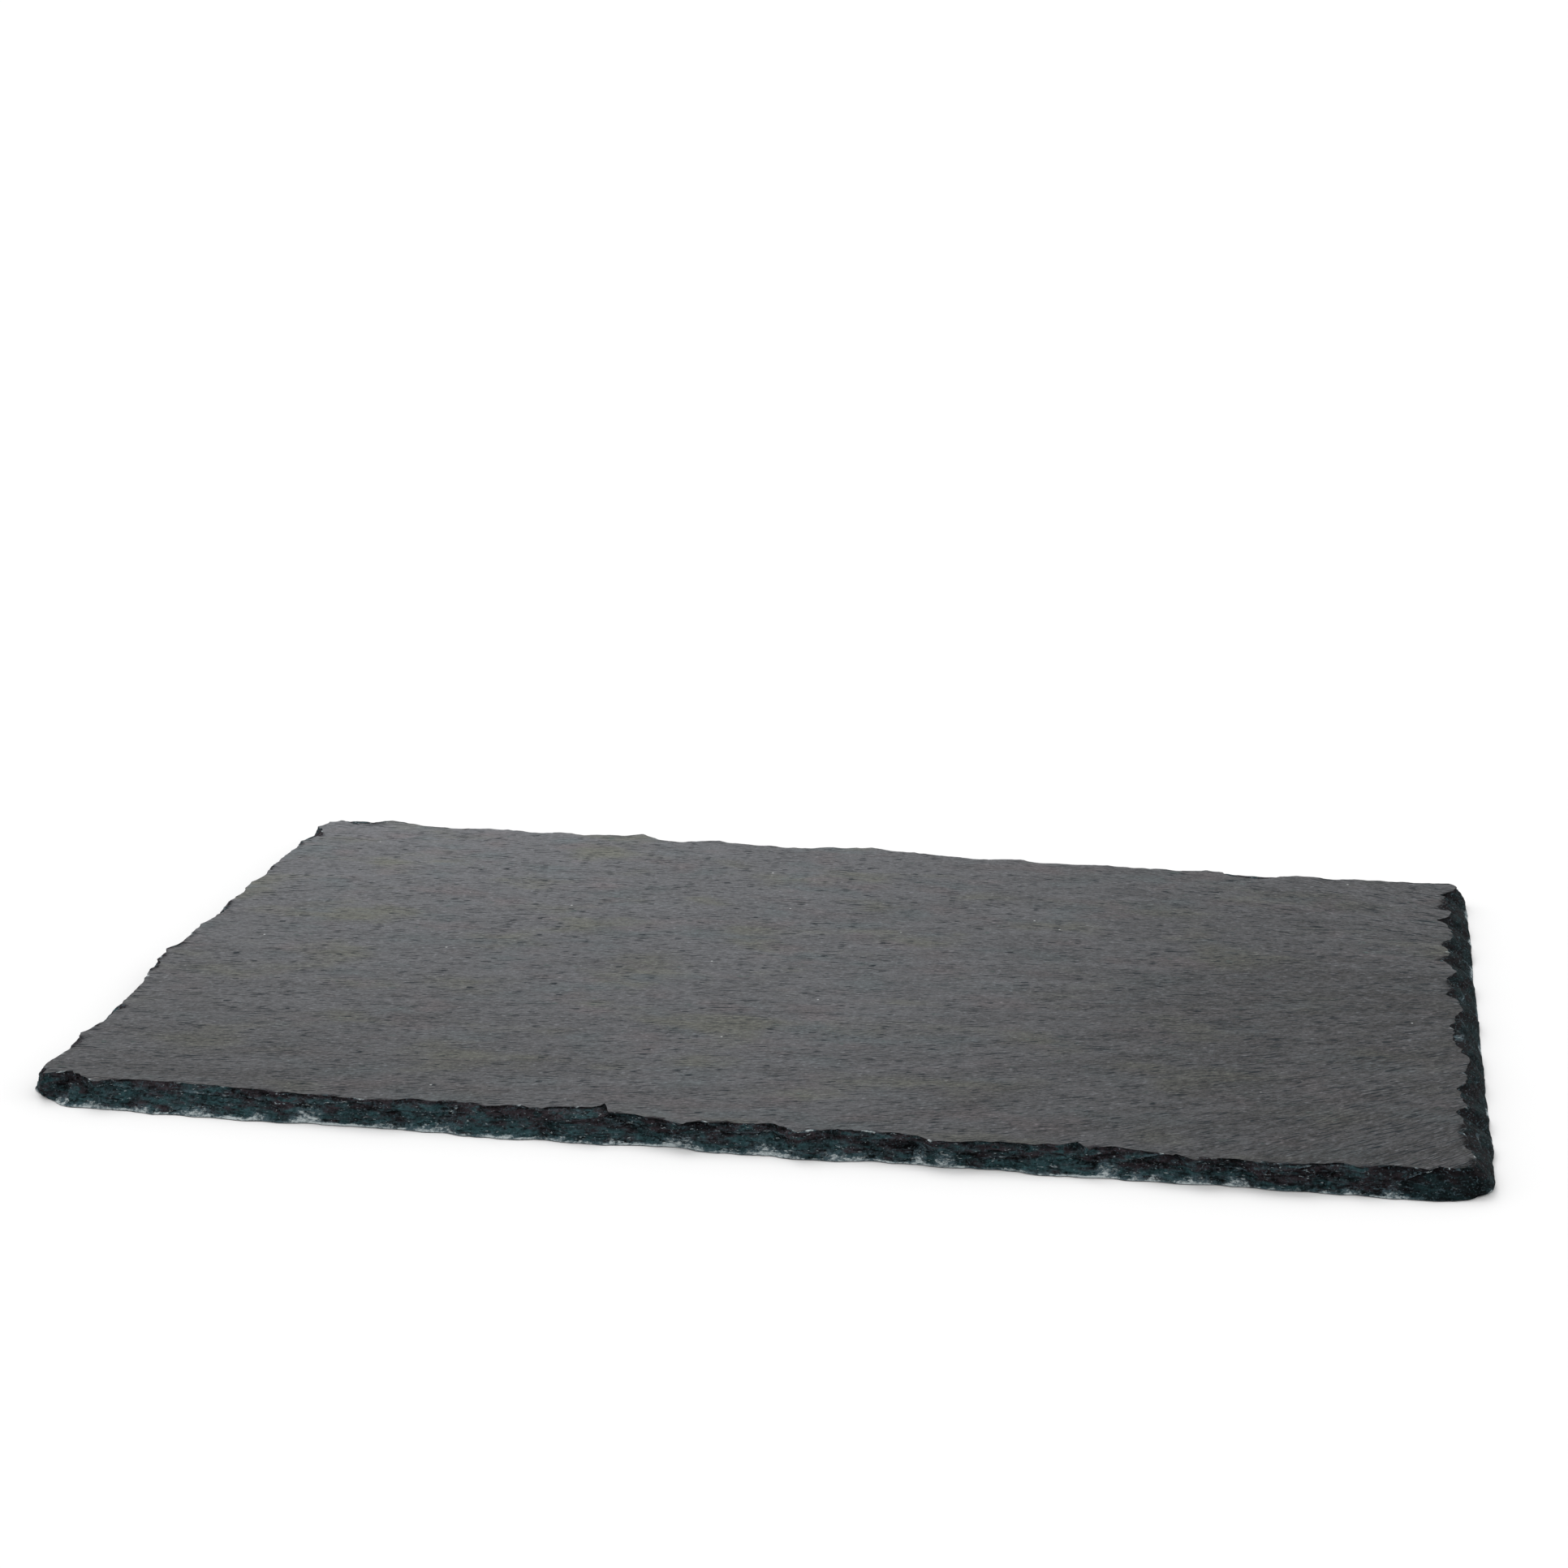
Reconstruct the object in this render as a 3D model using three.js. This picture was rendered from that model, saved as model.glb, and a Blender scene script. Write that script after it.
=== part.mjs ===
// A slate slab: one riven sheet of rock, dressed by hand to a rough rectangle.
// It lies flat. X runs along its length, Y from front to back, Z up, in millimetres.
// The origin is on the underside, at the middle of the slab's outer box.
//
// The underside and the top face are cleavage planes, so both are flat. The edge between
// them was knocked off from below: every blow left a hollow scar, two scars meet in a ridge
// that ends in a tooth on the top face's rim, and the rim lies inside the foot of the edge.

import * as THREE from "three";

const THICKNESS = 5.5;

// The corners of the foot of the edge, where the slab is widest, anticlockwise.
const FRONT_LEFT = new THREE.Vector2(-152, -101.2);
const FRONT_RIGHT = new THREE.Vector2(151, -105.6);
const BACK_RIGHT = new THREE.Vector2(148.8, 94.9);
const BACK_LEFT = new THREE.Vector2(-149.2, 105.9);

// How much a scar's deepest place and its hollowness differ from scar to scar.
const SCAR_MIDDLE_SPREAD = 0.5;
const HOLLOWNESS_LEAST = 1.1;
const HOLLOWNESS_SPREAD = 1.1;
// The outermost sheet of the cleavage, which has come away beside the rim in a few places.
const TOP_SHEET = 0.4;
// A corner is mitred over this length to both sides, so that the edge turns it in a fan.
const CORNER_FAN = 16;
// The spacing of the points around the slab.
const POINT_SPACING = 3.4;

// Each side, anticlockwise from the front. lean: how far its ridges lean in between the foot
// and the top face. cornerAtFoot and cornerAtTop: the radius that its first corner has lost.
// scars: where each one ends, as a distance from that corner, and how deep it is cut into the
// top face. missing: where the top sheet is gone, from and to, and how far in.
const SIDES = [
  {
    from: FRONT_LEFT,
    to: FRONT_RIGHT,
    lean: 0.9,
    cornerAtFoot: 16,
    cornerAtTop: 12,
    scars: [
      { end: 15, depth: 1.6 },
      { end: 64, depth: 3 },
      { end: 99, depth: 2.9 },
      { end: 120, depth: 2.8 },
      { end: 140, depth: 2.3 },
      { end: 164, depth: 2.7 },
      { end: 191, depth: 2.6 },
      { end: 222, depth: 1.7 },
      { end: 243, depth: 2.4 },
      { end: 259, depth: 1.1 },
      { end: 275, depth: 1.7 },
      { end: 302, depth: 3.1 },
    ],
    missing: [
      { from: 104, to: 120, reach: 2 },
      { from: 215, to: 220, reach: 2.8 },
      { from: 262, to: 274, reach: 1.2 },
    ],
  },
  {
    from: FRONT_RIGHT,
    to: BACK_RIGHT,
    lean: 3.4,
    cornerAtFoot: 12,
    cornerAtTop: 9,
    scars: [
      { end: 11, depth: 0.9 },
      { end: 25, depth: 1.6 },
      { end: 43, depth: 1.4 },
      { end: 59, depth: 1.2 },
      { end: 73, depth: 0.9 },
      { end: 103, depth: 2.1 },
      { end: 133, depth: 1.7 },
      { end: 158, depth: 2.4 },
      { end: 177, depth: 1.9 },
      { end: 201, depth: 1.7 },
    ],
    missing: [{ from: 75, to: 87, reach: 1.4 }],
  },
  {
    from: BACK_RIGHT,
    to: BACK_LEFT,
    lean: 1.9,
    cornerAtFoot: 5,
    cornerAtTop: 6,
    scars: [
      { end: 39, depth: 1 },
      { end: 64, depth: 2 },
      { end: 89, depth: 1.8 },
      { end: 111, depth: 2 },
      { end: 139, depth: 2.2 },
      { end: 152, depth: 2 },
      { end: 191, depth: 2.8 },
      { end: 214, depth: 2.9 },
      { end: 246, depth: 1.8 },
      { end: 279, depth: 2.7 },
      { end: 298, depth: 1.2 },
    ],
    missing: [
      { from: 46, to: 60, reach: 2.4 },
      { from: 281, to: 295, reach: 4 },
    ],
  },
  {
    from: BACK_LEFT,
    to: FRONT_LEFT,
    lean: 1.7,
    cornerAtFoot: 6,
    cornerAtTop: 7,
    scars: [
      { end: 10, depth: 0.9 },
      { end: 25, depth: 1.6 },
      { end: 45, depth: 1.2 },
      { end: 62, depth: 1.4 },
      { end: 79, depth: 1.1 },
      { end: 97, depth: 1.6 },
      { end: 117, depth: 1.9 },
      { end: 133, depth: 1.3 },
      { end: 169, depth: 2 },
      { end: 186, depth: 1.2 },
      { end: 207, depth: 1.3 },
    ],
    missing: [
      { from: 11, to: 24, reach: 1.8 },
      { from: 120, to: 132, reach: 1.6 },
    ],
  },
];

// Evenly spread numbers from 0 to 1: multiples of an irrational step, without their whole part.
const GOLDEN_STEP = 0.6180339887;
const SILVER_STEP = 0.4142135624;

function spread(count, step) {
  const value = count * step + 0.5;
  return value - Math.floor(value);
}

// The slow waver of the whole edge along the slab, as waves of unlike lengths.
const WAVES = [
  { length: 61, height: 0.45, start: 0.4 },
  { length: 23, height: 0.3, start: 2.1 },
  { length: 9.7, height: 0.22, start: 4.4 },
];

function waver(distance) {
  return WAVES.reduce(
    (sum, wave) => sum + wave.height * Math.sin((2 * Math.PI * distance) / wave.length + wave.start),
    0,
  );
}

// The scars of one side from corner to corner, each with its place and its own shape.
function scarsOf(side, firstCount) {
  const length = side.from.distanceTo(side.to);
  return side.scars.map(({ end, depth }, index) => {
    const count = firstCount + index;
    const last = index === side.scars.length - 1;
    return {
      start: index === 0 ? 0 : side.scars[index - 1].end,
      end: last ? length : end,
      depth,
      middle: 0.5 + SCAR_MIDDLE_SPREAD * (spread(count, GOLDEN_STEP) - 0.5),
      hollowness: HOLLOWNESS_LEAST + HOLLOWNESS_SPREAD * spread(count, SILVER_STEP),
    };
  });
}

// How far around the slab a side starts.
function startOf(index) {
  return SIDES.slice(0, index).reduce((sum, side) => sum + side.from.distanceTo(side.to), 0);
}

// How deep a scar is at a distance along its side: 0 at both teeth, its depth at its middle.
function scarAcross(scar, distance) {
  const share = (distance - scar.start) / (scar.end - scar.start);
  const away =
    share < scar.middle
      ? (scar.middle - share) / scar.middle
      : (share - scar.middle) / (1 - scar.middle);
  return scar.depth * (1 - away * away);
}

// The extra step back of the rim where the top sheet is gone: an arch over the missing place.
function sheetStep(side, distance) {
  return side.missing.reduce((step, place) => {
    const share = (2 * distance - place.from - place.to) / (place.to - place.from);
    return step + place.reach * Math.sqrt(Math.max(0, 1 - share ** 4));
  }, 0);
}

// What a rounded corner has lost at a distance from it, square to either of its sides: at the
// corner itself the gap between a square corner and its round one, and nothing past the radius.
function cornerLoss(radius, distance) {
  const share = Math.max(0, 1 - distance / radius);
  return radius * (1 - Math.SQRT1_2) * share * share;
}

// A smooth step from 0 to 1 while its argument goes from 0 to 1.
function ease(share) {
  const held = Math.min(1, Math.max(0, share));
  return held * held * (3 - 2 * held);
}

// The point of the edge on one side, at a distance along it and at a height given as a share
// of the thickness. Away from the corners it is pushed in square to the side. In a corner's
// fan it turns to the mitre, and the lean goes halfway to that of the side beyond.
function edgePoint(index, scar, distance, row) {
  const side = SIDES[index];
  const before = SIDES[(index + SIDES.length - 1) % SIDES.length];
  const after = SIDES[(index + 1) % SIDES.length];
  const height = row.height;
  const length = side.from.distanceTo(side.to);
  const toStart = 1 - ease(distance / CORNER_FAN);
  const toEnd = 1 - ease((length - distance) / CORNER_FAN);
  const leanToStart = (toStart * (before.lean - side.lean)) / 2;
  const leanToEnd = (toEnd * (after.lean - side.lean)) / 2;
  const lean = side.lean + leanToStart + leanToEnd;
  const hollow = scarAcross(scar, distance) * (1 - (1 - height) ** scar.hollowness);
  const startRadius = THREE.MathUtils.lerp(side.cornerAtFoot, side.cornerAtTop, height);
  const endRadius = THREE.MathUtils.lerp(after.cornerAtFoot, after.cornerAtTop, height);
  const lost = cornerLoss(startRadius, distance) + cornerLoss(endRadius, length - distance);
  const step = row.sheetGone ? sheetStep(side, distance) : 0;
  const depth = lean * height + hollow + waver(startOf(index) + distance) + lost + step;
  const along = side.to.clone().sub(side.from).normalize();
  const inward = new THREE.Vector2(-along.y, along.x);
  const point = side.from.clone().addScaledVector(inward, depth);
  point.addScaledVector(along, distance + (toStart - toEnd) * depth);
  return new THREE.Vector3(point.x, point.y, height * THICKNESS);
}

// The rows of the edge from the foot to the rim, as shares of the thickness. The last two are
// the top sheet's own edge, which starts just above the ledge that the sheet left.
const LEDGE_HEIGHT = 1 - TOP_SHEET / THICKNESS;
const LEDGE_RISE = 0.02;
const ROWS = [
  ...[0, 0.14, 0.3, 0.46, 0.62, 0.78].map((height) => ({ height, sheetGone: false })),
  { height: LEDGE_HEIGHT, sheetGone: false },
  { height: LEDGE_HEIGHT + LEDGE_RISE, sheetGone: true },
  { height: 1, sheetGone: true },
];

// One column of points for every place around the slab, from the foot to the rim.
function edgeColumns() {
  const columns = [];
  let firstCount = 1;
  SIDES.forEach((side, index) => {
    const scars = scarsOf(side, firstCount);
    for (const scar of scars) {
      const steps = Math.ceil((scar.end - scar.start) / POINT_SPACING);
      for (let step = 0; step < steps; step += 1) {
        const distance = THREE.MathUtils.lerp(scar.start, scar.end, step / steps);
        columns.push(ROWS.map((row) => edgePoint(index, scar, distance, row)));
      }
    }
    firstCount += scars.length;
  });
  return columns;
}

// The closed skin: a fan over the underside, the bands of the edge, and a fan over the top.
function slabGeometry() {
  const columns = edgeColumns();
  const points = columns.flat();
  const underside = points.push(new THREE.Vector3(0, 0, 0)) - 1;
  const top = points.push(new THREE.Vector3(0, 0, THICKNESS)) - 1;
  const lastRow = ROWS.length - 1;
  const triangles = [];
  columns.forEach((column, index) => {
    const here = index * ROWS.length;
    const beside = ((index + 1) % columns.length) * ROWS.length;
    triangles.push(underside, beside, here);
    for (let row = 0; row < lastRow; row += 1) {
      triangles.push(here + row, beside + row, beside + row + 1);
      triangles.push(here + row, beside + row + 1, here + row + 1);
    }
    triangles.push(top, here + lastRow, beside + lastRow);
  });
  const geometry = new THREE.BufferGeometry().setFromPoints(points);
  geometry.setIndex(triangles);
  geometry.computeBoundingBox();
  const middle = geometry.boundingBox.getCenter(new THREE.Vector3());
  geometry.translate(-middle.x, -middle.y, 0);
  geometry.computeVertexNormals();
  return geometry;
}

const slate = new THREE.MeshStandardMaterial({
  color: "#5f5f61",
  roughness: 0.62,
  metalness: 0,
  flatShading: true,
});

const slab = new THREE.Mesh(slabGeometry(), slate);
slab.name = "slate_slab";

const part = new THREE.Group();
part.add(slab);

export default part;
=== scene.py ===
# %% [markdown]
# # A slate slab, riven and dressed by hand
# A serving slab of slate is one sheet of rock. It was split along its cleavage, so its two
# faces are nearly flat, and then trimmed to a rough rectangle with a bar and a dressing iron.
# Each blow from below knocked a shell-shaped scar off the edge, and crushed a little of the
# stone to white crumbs where it landed.
#
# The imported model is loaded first. It has the slab's true size, its corners and its scars in
# large facets. The stone made here shares its frame, in metres, and keeps to its box within a
# fifth of a millimetre.

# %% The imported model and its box
import math

import bpy
import numpy as np
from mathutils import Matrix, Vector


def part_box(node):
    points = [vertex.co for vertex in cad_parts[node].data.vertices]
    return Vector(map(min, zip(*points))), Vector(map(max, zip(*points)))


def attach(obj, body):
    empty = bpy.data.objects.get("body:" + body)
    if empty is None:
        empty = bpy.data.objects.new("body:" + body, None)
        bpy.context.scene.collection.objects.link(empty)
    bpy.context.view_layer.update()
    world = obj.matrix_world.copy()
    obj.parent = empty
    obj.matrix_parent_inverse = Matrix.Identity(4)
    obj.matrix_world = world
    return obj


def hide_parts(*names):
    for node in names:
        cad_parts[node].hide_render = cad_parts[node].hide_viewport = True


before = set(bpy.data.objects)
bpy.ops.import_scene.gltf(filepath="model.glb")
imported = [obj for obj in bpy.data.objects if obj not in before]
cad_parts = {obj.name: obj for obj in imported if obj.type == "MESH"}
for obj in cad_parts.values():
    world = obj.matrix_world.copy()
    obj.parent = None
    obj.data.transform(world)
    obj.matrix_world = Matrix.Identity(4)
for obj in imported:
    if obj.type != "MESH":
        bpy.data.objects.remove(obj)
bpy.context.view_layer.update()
low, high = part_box("slate_slab")
MM = 0.001
THICKNESS = (high[2] - low[2]) / MM
print("the slab is", [round((b - a) / MM, 1) for a, b in zip(low, high)], "mm")

# %% [markdown]
# ## The camera
# A camera is a place, a direction and a focal length. The lines of the slab's long and short
# edges meet so far away that the picture was taken with a long lens, from a quarter of a metre
# above the table and to the right of the slab's middle. The focal length is kept in pixels of
# the photograph, and the sensor width turns it into the lens length that Blender asks for.

# %% The camera
PHOTO_SIDE = 1932
FOCAL_PIXELS = 4200
SENSOR_WIDTH = 36.0
CAMERA_PLACE = (0.1206, -0.7334, 0.2496)
CAMERA_TURN = math.radians(9.82)
CAMERA_DIP = math.radians(15.1)

camera_data = bpy.data.cameras.new("table_camera")
camera_data.sensor_width = SENSOR_WIDTH
camera_data.lens = SENSOR_WIDTH * FOCAL_PIXELS / PHOTO_SIDE
camera_data.clip_end = 100
camera = bpy.data.objects.new("table_camera", camera_data)
camera.location = CAMERA_PLACE
camera.rotation_euler = (math.pi / 2 - CAMERA_DIP, 0, CAMERA_TURN)
bpy.context.collection.objects.link(camera)
bpy.context.scene.camera = camera
print("the lens is", round(camera_data.lens, 1), "mm")

# %% [markdown]
# ## The outline and its scars
# The foot of the edge is a four-sided figure that is a little out of square, because nobody
# measured it. Each side is a row of scars. A scar starts and ends at a tooth of the top
# face's rim, and its depth says how far it bites into that face between the two teeth. A tooth
# itself stands back from the foot as well, more on the right side than on the front.
#
# This could be drawn as a curve with a point for every tooth. A short table is easier to read
# and to change: it says where each scar ends, in millimetres from its side's first corner, how
# far back the tooth there is, and how deep the scar is, as measured in the stone.

# %% The sides, anticlockwise from the front
CORNERS = np.array([(-152, -101.2), (151, -105.6), (148.8, 94.9), (-149.2, 105.9)])
# One number for each side, or for its first corner. The markdown of the next cell tells more.
SLANT = np.array([3, -4, 5, -5])
BELLY = np.array([1.0, 2.2, 1.4, 1.0])
SHARPNESS = np.array([2.4, 1.3, 1.8, 1.8])
STEADY_FOOT = np.array([0.3, 0.85, 0.5, 0.3])
WAVER_SHARE = np.array([1.0, 0.1, 0.8, 0.8])
CORNER_AT_FOOT = np.array([17, 13, 2, 6])
CORNER_AT_RIM = np.array([12, 9, 3, 7])
FRONT_SCARS = (
    (17, 0.8, 4.8), (18.5, 3.1, 0), (67, 2.2, 1.1), (79, 2.2, 0.2), (101, 2.8, 1.3),
    (113, 3.2, 0.5), (122.5, 1.1, 0.3), (142, 0.3, 2.5), (160.5, 3.2, 0.5), (166, -0.7, 0.3),
    (172, 2.7, 0.5), (189, 2.6, 0.4), (193, -0.1, 0.3), (202, 1.4, 0.3), (213, 1.9, 0.5),
    (224, 1.2, 1.4), (245, -1.3, 2.8), (257, 0.2, 2), (264, -0.2, 0.3), (277, 0.6, 1.6),
    (290, 2, 1.9), (303.1, 2.5, 1.8),
)
RIGHT_SCARS = (
    (12, 4.7, 0.3), (25, 5, 0.5), (39, 4.9, 0.9), (58, 3.4, 1.3), (73, 2.7, 0.9),
    (102, 3.8, 2.6), (129, 4.1, 1.8), (157, 5.1, 1.8), (176, 4.3, 1.2), (200.6, 2.4, 2.2),
)
BACK_SCARS = (
    (39, 3.8, 0.4), (64, 3.2, 1.5), (89, 3.4, 1.5), (111, 3.2, 1.6), (139, 2.1, 2),
    (150, 0, 0.8), (160, 1.2, 0.2), (190, 2.5, 2.8), (211, 0, 3.6), (234, 3, 2.1),
    (246, 2.7, 1.3), (279, 1, 2.8), (298.3, 3, 1),
)
LEFT_SCARS = (
    (10, 2, 0.5), (25, 1.4, 1.4), (45, 1.6, 0.6), (62, 1.4, 0.9), (79, 1.2, 0.8),
    (97, 1, 1.2), (117, 0.3, 1), (125, 0.7, 0.3), (133, 2.1, 0.3), (155, 3.6, 0.5),
    (170, 4.2, 0.9), (177, 2.7, 0.6), (191, 3, 0.9), (207.1, 1.2, 0.8),
)
# Where the top of the stone has come away beside the rim: from, to, how far in, the lean, and
# how thick the flake was. A lean of 0 is an even arch, and with 1 the reach rises evenly and
# ends in a wall, which takes FLAKE_WALL mm of the edge.
MISSING = (
    ((112.5, 125.8, 6, 0.75, 0.5), (218, 223.2, 4, 1, 1.5), (262, 274, 1.2, 0.3, 0.4)),
    ((75, 87, 1.4, 0, 0.4),),
    ((46, 60, 2.4, 0, 0.4), (281, 295, 4, 0.6, 0.4)),
    ((11, 24, 1.8, 0.2, 0.4),),
)
FLAKE_WALL = 1.6
SIDE_SCARS = (FRONT_SCARS, RIGHT_SCARS, BACK_SCARS, LEFT_SCARS)
side_vectors = np.roll(CORNERS, -1, axis=0) - CORNERS
LENGTHS = np.hypot(*side_vectors.T)
STARTS = np.concatenate(([0], np.cumsum(LENGTHS)[:-1]))
ALL_ROUND = LENGTHS.sum()
ALONG = side_vectors / LENGTHS[:, None]
INWARD = np.stack((-ALONG[:, 1], ALONG[:, 0]), axis=1)
print("the edge is", round(ALL_ROUND), "mm round")

# %% [markdown]
# ## The surface of the edge as a function
# The edge is a surface of two parameters: how far round the slab a point is, and how high it
# is between the foot (0) and the rim (1). For every such pair, one number says how deep the
# stone has been cut back from the foot's straight side. That number is a sum: the line from
# tooth to tooth, the hollow of the scar, a slow waver of the foot, and what the corners have
# lost. The line grows with height to the power of the side's belly, so that a belly above 1
# stands out, and a scar's sharpness is 2 for a round hollow and nearer 1 for a notch. Below the
# rim the scars drift along the edge, each side's by its own slant. A steady foot, nearer 1,
# keeps its line and isn't nibbled.
#
# Numpy works out the whole grid at once. A row of the grid is a height and a column is a place
# round the slab, so arrays of shape (rows, 1) and (columns,) combine to (rows, columns).

# %% The scars as arrays, and the sum that cuts back the edge
GOLDEN_STEP = 0.6180339887
SILVER_STEP = 0.4142135624
SCAR_MIDDLE_SPREAD = 0.5
HOLLOWNESS_LEAST = 1.1
HOLLOWNESS_SPREAD = 1.1
DRIFT_POWER = 0.6
CORNER_FAN = 16
# The waver of the foot: the length, height and start of three waves.
WAVES = ((61, 0.45, 0.4), (23, 0.3, 2.1), (9.7, 0.22, 4.4))

scars = np.concatenate(
    [np.array(table) + (start, 0, 0) for start, table in zip(STARTS, SIDE_SCARS)]
)
SCAR_TO, TEETH, SCAR_DEPTH = scars.T
SCAR_FROM = np.concatenate(([0], SCAR_TO[:-1]))
print("it has", len(SCAR_TO), "scars")
scar_numbers = np.arange(1, len(SCAR_TO) + 1)
SCAR_MIDDLE = 0.5 + SCAR_MIDDLE_SPREAD * ((scar_numbers * GOLDEN_STEP + 0.5) % 1 - 0.5)
HOLLOWNESS = HOLLOWNESS_LEAST + HOLLOWNESS_SPREAD * ((scar_numbers * SILVER_STEP + 0.5) % 1)


def along_sides(place, values):
    """Four numbers, one for the middle of each side, and evenly between them elsewhere."""
    return np.interp(place, STARTS + LENGTHS / 2, values, period=ALL_ROUND)


def ease(share):
    """A smooth step: 3 t squared minus 2 t cubed, with t held between 0 and 1."""
    held = np.clip(share, 0, 1)
    return held * held * (3 - 2 * held)


def corner_loss(radius, distance):
    """What a round corner lacks of a square one: (1 - cos 45) r (1 - d / r) squared."""
    share = np.clip(1 - distance / radius, 0, 1)
    return radius * (1 - math.sqrt(0.5)) * share * share


def flake_step(place, height_mm):
    """The extra step back where a flake is gone beside the rim, above its own underside. With t
    from 0 to 1 over the missing place, an arch is the root of 1 - (2 t - 1) to the fourth, and a
    ramp is t up to its wall. The step is the reach times a mix of the two. Takes places
    (columns,) and heights (rows, 1) in mm."""
    step = np.zeros((len(height_mm), len(place)))
    for start, places in zip(STARTS, MISSING):
        for first, last, reach, lean, thick in places:
            share = np.clip((place - start - first) / (last - first), 0, 1)
            arch = np.sqrt(1 - (2 * share - 1) ** 4)
            ramp = share * np.clip((1 - share) * (last - first) / FLAKE_WALL, 0, 1)
            gone = height_mm > THICKNESS - thick
            step += reach * (arch + lean * (ramp - arch)) * gone
    return step


def hollow_of_scars(place, height):
    """A scar's hollow is its depth times 1 - a to the power of its sharpness, with a from 1 at
    its teeth to 0 at its middle, times 1 - (1 - height) to the power of its hollowness. Below
    the rim a scar drifts to one side, by the side's slant times a power of 1 - height."""
    place = (place + along_sides(place, SLANT) * (1 - height) ** DRIFT_POWER) % ALL_ROUND
    scar = np.minimum(np.searchsorted(SCAR_TO, place, side="right"), len(SCAR_TO) - 1)
    share = (place - SCAR_FROM[scar]) / (SCAR_TO[scar] - SCAR_FROM[scar])
    middle = SCAR_MIDDLE[scar]
    away = np.where(share < middle, (middle - share) / middle, (share - middle) / (1 - middle))
    side = np.searchsorted(STARTS, SCAR_FROM[scar] + 1, side="right") - 1
    across = 1 - away ** SHARPNESS[side]
    return SCAR_DEPTH[scar] * across * (1 - (1 - height) ** HOLLOWNESS[scar])


def cut_back(place, height):
    """How far the edge is cut back from the foot's straight side, at places (columns,) round
    the slab and heights (rows, 1). A wave is its size times sin(2 pi place / length + start),
    and a corner's radius is the rim's plus its excess at the foot times (1 - height) cubed."""
    side = np.searchsorted(STARTS, place, side="right") - 1
    after = (side + 1) % 4
    distance = place - STARTS[side]
    radius = CORNER_AT_RIM + (CORNER_AT_FOOT - CORNER_AT_RIM) * (1 - height) ** 3
    lost = corner_loss(radius[:, side], distance)
    lost = lost + corner_loss(radius[:, after], LENGTHS[side] - distance)
    waver = sum(size * np.sin(2 * np.pi * place / length + start) for length, size, start in WAVES)
    waver = waver * along_sides(place, WAVER_SHARE) * (1 - height)
    line = np.interp(place, SCAR_TO, TEETH, period=ALL_ROUND)
    return line * height ** along_sides(place, BELLY) + hollow_of_scars(place, height) + waver + lost


def edge_points(place, depth):
    """The ground plan of edge points: square to the side, and turned to the mitre in the fan
    of a corner. Takes places (columns,) and depths (rows, columns)."""
    side = np.searchsorted(STARTS, place, side="right") - 1
    distance = place - STARTS[side]
    to_start = 1 - ease(distance / CORNER_FAN)
    to_end = 1 - ease((LENGTHS[side] - distance) / CORNER_FAN)
    forward = distance + (to_start - to_end) * depth
    return CORNERS[side] + ALONG[side] * forward[..., None] + INWARD[side] * depth[..., None]


# %% [markdown]
# ## Chance that repeats
# Rock isn't regular, but the script has to make the same slab each time. Both kinds of chance
# used here are lattices of seeded random numbers, joined by smooth steps. One lattice is a
# ring, so that it closes on itself round the slab. The other is a sheet for the two faces.

# %% Noise round the edge and over the faces
def ring_noise(place, length, seed):
    """Smooth chance from -1 to 1: random numbers every length mm round the slab, eased."""
    count = round(ALL_ROUND / length)
    values = np.random.default_rng(seed).uniform(-1, 1, count)
    step = place / ALL_ROUND * count
    cell = np.floor(step).astype(int)
    share = ease(step - cell)
    return values[cell % count] * (1 - share) + values[(cell + 1) % count] * share


def layer_noise(place, height_mm, length, thickness, seed):
    """Chance on the edge face in layers: a ring of noise for each layer of the stone, eased from
    one layer to the next. Takes places (columns,) and heights (rows, 1) in mm."""
    layer = np.floor(height_mm / thickness).astype(int)
    share = ease(height_mm / thickness - layer)
    rings = np.stack([ring_noise(place, length, seed + k) for k in range(layer.max() + 2)])
    return rings[layer[:, 0]] * (1 - share) + rings[layer[:, 0] + 1] * share


LATTICE_SIDE = 256
LATTICE = np.random.default_rng(11).uniform(-1, 1, (LATTICE_SIDE, LATTICE_SIDE))
SEED_STEPS = (37, 91)


def sheet_noise(across, along, seed):
    """Smooth chance from -1 to 1 over a plane, one random number for each unit square. Each seed
    starts at another place of the same lattice."""
    cell_x = np.floor(across).astype(int)
    cell_y = np.floor(along).astype(int)
    share_x = ease(across - cell_x)
    share_y = ease(along - cell_y)
    total = 0
    for step_x, weight_x in ((0, 1 - share_x), (1, share_x)):
        for step_y, weight_y in ((0, 1 - share_y), (1, share_y)):
            row = (cell_x + step_x + SEED_STEPS[0] * seed) % LATTICE_SIDE
            column = (cell_y + step_y + SEED_STEPS[1] * seed) % LATTICE_SIDE
            total = total + LATTICE[row, column] * weight_x * weight_y
    return total


def between(least, most, chance):
    """From least to most while a chance goes from 0 to 1."""
    return least + (most - least) * chance


# %% [markdown]
# ## The grain of the cleavage
# The riven faces carry a fine lineation. It runs nearly along the slab on the left and,
# towards the right edge, gathers like combed hair to a line a little behind the middle. With
# v = y - turn x - centre, a line of it is v = c / squeeze(x), so the number c = v squeeze(x)
# is the same all along one line and counts the lines across.
#
# The lines get closer to the right, but single streaks keep their thickness. So the count is
# halved each time the spacing has halved. Two versions, halved an even and an odd number of
# times, are blended, and each is switched to its next value where its weight is zero.

# %% The grain in numbers
GRAIN_CENTRE = -2.0
GRAIN_TURN = 0.13
GRAIN_GATHER = 0.1
GRAIN_REACH = 78.0
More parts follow.
